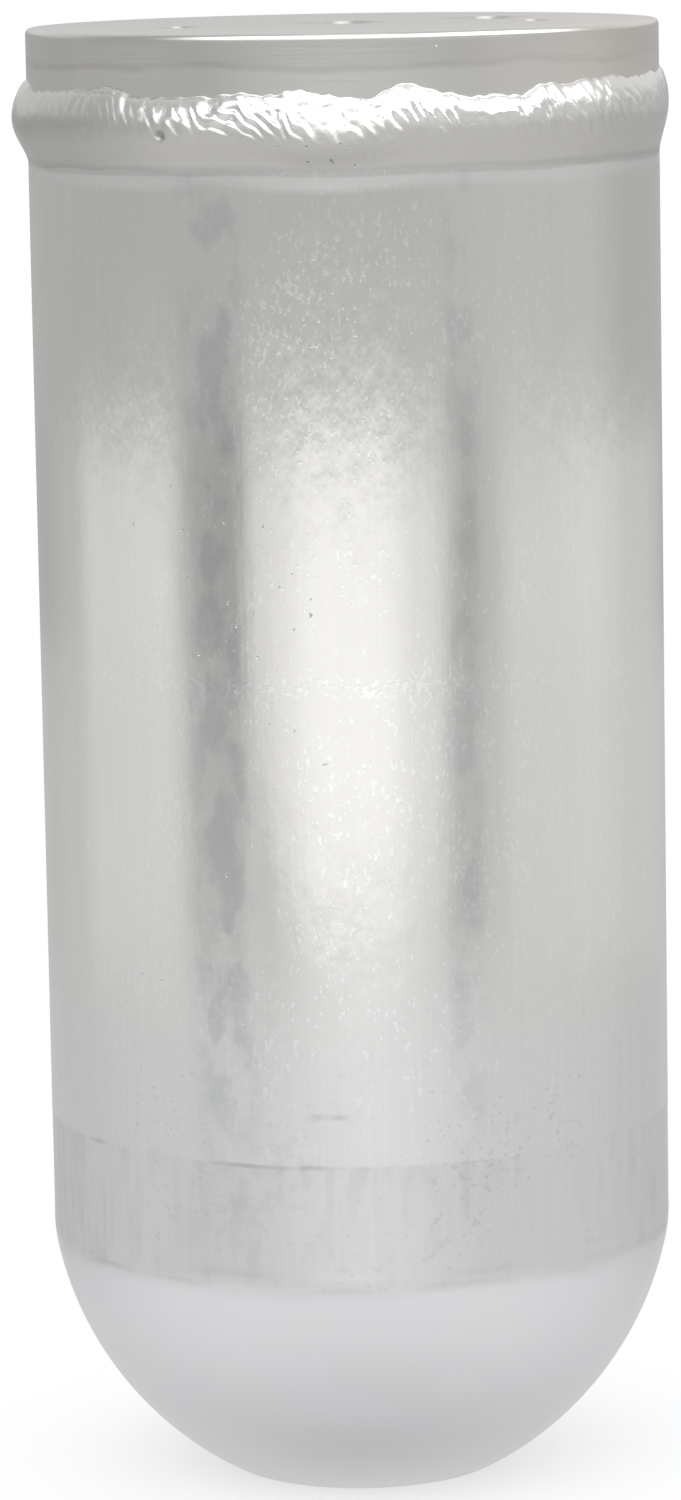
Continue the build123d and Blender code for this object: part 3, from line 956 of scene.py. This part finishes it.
def room_light(tree, azimuth, elevation):
    """Grey room, lighter behind, with a bank of lamps above the front and a pale zenith."""
    room = mixed(tree, ease(tree, azimuth, 5.0, 60.0), 0.50, 0.57)
    room = mixed(tree, ease(tree, azimuth, 95.0, 125.0), room, 0.48)
    room = mixed(tree, ease(tree, azimuth, -30.0, -90.0), room, 0.475)
    behind = ease(tree, calc(tree, "ABSOLUTE", azimuth), 95.0, 130.0)
    behind = times(tree, behind, ease(tree, elevation, 2.0, 9.0))
    room = mixed(tree, behind, room, BEHIND_LEVEL)
    bank = times(tree, ease(tree, elevation, 9.0, 20.0), ease(tree, elevation, 72.0, 56.0))
    bank = times(tree, bank, ease(tree, apart(tree, azimuth, BANK_MIDDLE), 92.0, 62.0))
    room = mixed(tree, bank, room, BANK_LEVEL)
    return mixed(tree, ease(tree, elevation, 76.0, 84.0), room, ZENITH_LEVEL)


def floor_light(tree, azimuth, elevation):
    """Pale floor, dimmer underneath and behind, with a glow before the front window."""
    front = apart(tree, azimuth, WINDOW_MIDDLE)
    side = calc(tree, "ABSOLUTE", azimuth)
    glow = times(tree, ease(tree, front, 60.0, 0.0), ease(tree, elevation, -24.0, -11.0))
    floor = mixed(tree, ease(tree, elevation, -16.0, -28.0), 0.67, 0.80)
    floor = mixed(tree, ease(tree, elevation, -32.0, -88.0), floor, 0.60)
    floor = times(tree, floor, mixed(tree, ease(tree, side, 60.0, 140.0), 1.0, 0.87))
    return raised(tree, floor, glow, 0.17)


def studio_world():
    """A room seen only in reflections: plain white to the camera, and even to matt surfaces."""
    world = bpy.data.worlds.new("studio")
    bpy.context.scene.world = world
    world.use_nodes = True
    tree = world.node_tree
    tree.nodes.clear()
    direction = add(tree, "ShaderNodeTexCoord").outputs["Generated"]
    axes = add(tree, "ShaderNodeSeparateXYZ", {0: direction}).outputs
    turn = calc(tree, "ARCTAN2", axes[0], times(tree, axes[1], -1.0))
    azimuth = times(tree, turn, 180 / math.pi)
    elevation = times(tree, calc(tree, "ARCSINE", axes[2]), 180 / math.pi)

    room = room_light(tree, azimuth, elevation)
    panes = window_light(tree, azimuth, elevation)
    level = mixed(tree, ease(tree, elevation, -5.4, -6.1), room, panes)
    floor = floor_light(tree, azimuth, elevation)
    level = mixed(tree, ease(tree, elevation, -10.7, -11.4), level, floor)

    rays = add(tree, "ShaderNodeLightPath").outputs
    mirrored = most(tree, rays["Is Glossy Ray"], rays["Is Transmission Ray"])
    seen = mixed(tree, mirrored, AMBIENT, level)
    seen = mixed(tree, rays["Is Camera Ray"], seen, 1.0)
    background = add(tree, "ShaderNodeBackground", {"Color": (1, 1, 1, 1), "Strength": seen})
    output = tree.nodes.new("ShaderNodeOutputWorld")
    tree.links.new(background.outputs[0], output.inputs[0])


FLOOR_RINGS = (0.0, 0.05, 0.1, 0.2, 0.4, 0.8, 1.6, 3.0, 6.0)  # metres from the part's axis
FLOOR_STEPS = 96


def make_floor():
    """A disc: matt near the part, so it keeps the shadow, and plain white further off."""
    turn = np.linspace(0, 2 * np.pi, FLOOR_STEPS, endpoint=False)[:, None]
    reach = np.array(FLOOR_RINGS)[None, :]
    x, y = reach * np.cos(turn), reach * np.sin(turn)
    points = np.stack([x, y, np.zeros_like(x)], axis=-1).reshape(-1, 3)
    faces = grid_faces(FLOOR_STEPS, len(FLOOR_RINGS), wrap=True)
    mesh = merged_mesh("studio_floor", points, faces)
    floor = placed("studio_floor", mesh)
    floor.visible_glossy = False

    material = bpy.data.materials.new("pale_floor")
    material.use_nodes = True
    tree = material.node_tree
    tree.nodes.clear()
    whole, _ = object_axes(tree)
    distance = add(tree, "ShaderNodeVectorMath", {0: whole}, operation="LENGTH")
    plain = mixed(tree, ease(tree, distance.outputs["Value"], 10 * MM, 60 * MM), 0.50, 1.0)
    rays = add(tree, "ShaderNodeLightPath").outputs
    far = times(tree, plain, rays["Is Camera Ray"])
    matt = add(tree, "ShaderNodeBsdfDiffuse", {"Color": (0.96, 0.96, 0.96, 1.0)}).outputs[0]
    white = add(tree, "ShaderNodeEmission", {"Color": (1, 1, 1, 1), "Strength": 1.0}).outputs[0]
    mix = add(tree, "ShaderNodeMixShader", {0: far, 1: matt, 2: white})
    output = tree.nodes.new("ShaderNodeOutputMaterial")
    tree.links.new(mix.outputs[0], output.inputs[0])
    mesh.materials.append(material)


def soft_lamp(name, place, size, power):
    """A square area lamp that faces the middle of the part and isn't mirrored in it."""
    data = bpy.data.lights.new(name, "AREA")
    data.size = size
    data.energy = power
    lamp = placed(name, data)
    lamp.location = place
    lamp.rotation_mode = "QUATERNION"
    away = Vector(place) - Vector((0, 0, TOP / 2))
    lamp.rotation_quaternion = away.to_track_quat("Z", "Y")
    lamp.visible_glossy = False


# ------------------------------------------------------------------------------ camera
CAMERA_AWAY = 700.218 * MM  # in front of the part's axis
CAMERA_ABOVE = 21.862 * MM  # over the head's top face
CAMERA_ASIDE = -1.663 * MM
CAMERA_PITCH = 0.156542  # downwards, in radians
CAMERA_ROLL = 0.0173889
FOCAL_PIXELS = 5773.21
FRAME_HEIGHT = 1500  # pixels


def make_camera():
    """Looks along +Y, pitched down and rolled a little; the long side fills the sensor."""
    data = bpy.data.cameras.new("camera")
    data.lens = FOCAL_PIXELS / FRAME_HEIGHT * data.sensor_width
    data.clip_start, data.clip_end = 0.01, 50.0
    camera = placed("camera", data)
    place = Matrix.Translation((CAMERA_ASIDE, -CAMERA_AWAY, TOP + CAMERA_ABOVE))
    level = Matrix.Rotation(math.pi / 2 - CAMERA_PITCH, 4, "X")
    camera.matrix_world = place @ level @ Matrix.Rotation(-CAMERA_ROLL, 4, "Z")
    bpy.context.scene.camera = camera


# --------------------------------------------------------------------------- the scene
can = make_canister()
head = make_head()
weld = make_weld_bead()
can.data.materials.append(drawn_aluminium())
head.data.materials.append(turned_aluminium())
weld.data.materials.append(weld_aluminium())

plated = grained_metal(
    "plated_steel", (0.66, 0.66, 0.63), (0.52, 0.52, 0.50), 0.8, 0.8, 0.25, 0.40
)
tube_metal = grained_metal(
    "tube_aluminium", (0.80, 0.80, 0.81), (0.66, 0.66, 0.67), 3.0, 0.05, 0.22, 0.36
)
spring_metal = grained_metal(
    "spring_steel", (0.46, 0.46, 0.47), (0.30, 0.30, 0.31), 1.2, 2.5, 0.26, 0.40
)
felt = needled_felt()
dress("pickup_tube", tube_metal)
dress("lower_plate", plated)
dress("upper_plate", plated)
dress("compression_spring", spring_metal)
dress("strainer_cage", moulded_nylon())
dress("strainer_gauze", woven_gauze())
dress("lower_pad", felt)
dress("upper_pad", felt)
dress("desiccant", sieve_beads())

studio_world()
make_floor()
soft_lamp("key_lamp", (-0.55, -0.75, 1.05), 0.9, 2.0)
make_camera()

bpy.context.scene.view_settings.view_transform = "Standard"
